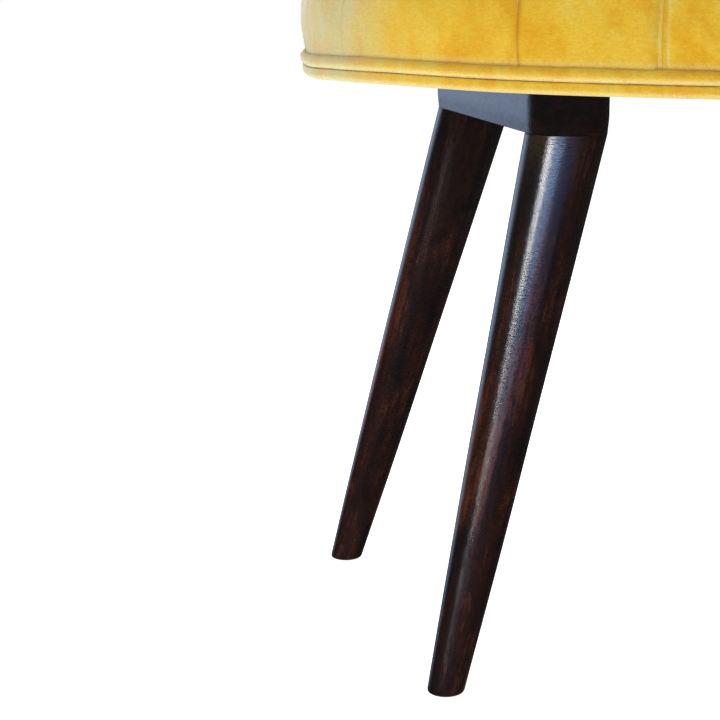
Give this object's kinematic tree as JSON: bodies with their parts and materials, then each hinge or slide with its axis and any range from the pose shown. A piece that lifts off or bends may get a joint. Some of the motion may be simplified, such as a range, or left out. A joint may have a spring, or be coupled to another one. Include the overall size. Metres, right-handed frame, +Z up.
{
  "type": "curved sofa",
  "caption": "Small curved sofa with an oval buttoned seat, piped edges, a wrap-around back and splayed tapered wooden legs on rounded blocks.",
  "frame": {"origin": "on the floor under the centre of the oval seat", "axes": "+X along the sofa to the right as seen from its front, -Y towards the front, +Z up"},
  "size_m": [1.3464, 0.7484, 0.7772],
  "materials": {
    "seat_velvet": "mustard cotton velvet, brushed nap",
    "back_velvet": "mustard cotton velvet, brushed nap",
    "piping_velvet": "mustard velvet over a cord",
    "button_velvet": "mustard velvet covered buttons",
    "leg_wood": "dark walnut stain under gloss lacquer",
    "frame_wood": "plain sawn beech",
    "plywood": "birch plywood",
    "foam": "cut upholstery foam",
    "webbing": "woven jute webbing",
    "dust_cloth": "black spun-bonded dust cloth",
    "fastener": "zinc-plated steel",
    "glide": "black nylon"
  },
  "bodies": {
    "root": {"back_base_rail": "frame_wood", "back_canvas": "webbing", "back_foam": "foam", "back_inner_cover": "back_velvet", "back_outer_cover": "back_velvet", "back_piping": "piping_velvet", "back_post_1": "frame_wood", "back_post_2": "frame_wood", "back_post_3": "frame_wood", "back_post_4": "frame_wood", "back_post_5": "frame_wood", "back_top_rail": "frame_wood", "base_panel": "plywood", "block_screw_left_front": "fastener", "block_screw_left_rear": "fastener", "block_screw_right_front": "fastener", "block_screw_right_rear": "fastener", "border_band": "seat_velvet", "cross_rail_centre": "frame_wood", "cross_rail_left": "frame_wood", "cross_rail_right": "frame_wood", "dust_cover": "dust_cloth", "foot_glide_front_left": "glide", "foot_glide_front_right": "glide", "foot_glide_rear_left": "glide", "foot_glide_rear_right": "glide", "leg_block_left": "leg_wood", "leg_block_right": "leg_wood", "leg_front_left": "leg_wood", "leg_front_right": "leg_wood", "leg_rear_left": "leg_wood", "leg_rear_right": "leg_wood", "leg_stud_front_left": "fastener", "leg_stud_front_right": "fastener", "leg_stud_rear_left": "fastener", "leg_stud_rear_right": "fastener", "long_webbing_1": "webbing", "long_webbing_2": "webbing", "rim_padding": "foam", "seat_button_1": "button_velvet", "seat_button_2": "button_velvet", "seat_button_3": "button_velvet", "seat_button_4": "button_velvet", "seat_button_5": "button_velvet", "seat_button_6": "button_velvet", "seat_button_7": "button_velvet", "seat_button_8": "button_velvet", "seat_button_9": "button_velvet", "seat_cover": "seat_velvet", "seat_foam": "foam", "seat_piping": "piping_velvet", "seat_rail_front": "frame_wood", "seat_rail_left_end": "frame_wood", "seat_rail_rear": "frame_wood", "seat_rail_right_end": "frame_wood", "short_webbing_1": "webbing", "short_webbing_2": "webbing", "short_webbing_3": "webbing", "short_webbing_4": "webbing", "short_webbing_5": "webbing"}
  },
  "joints": []
}
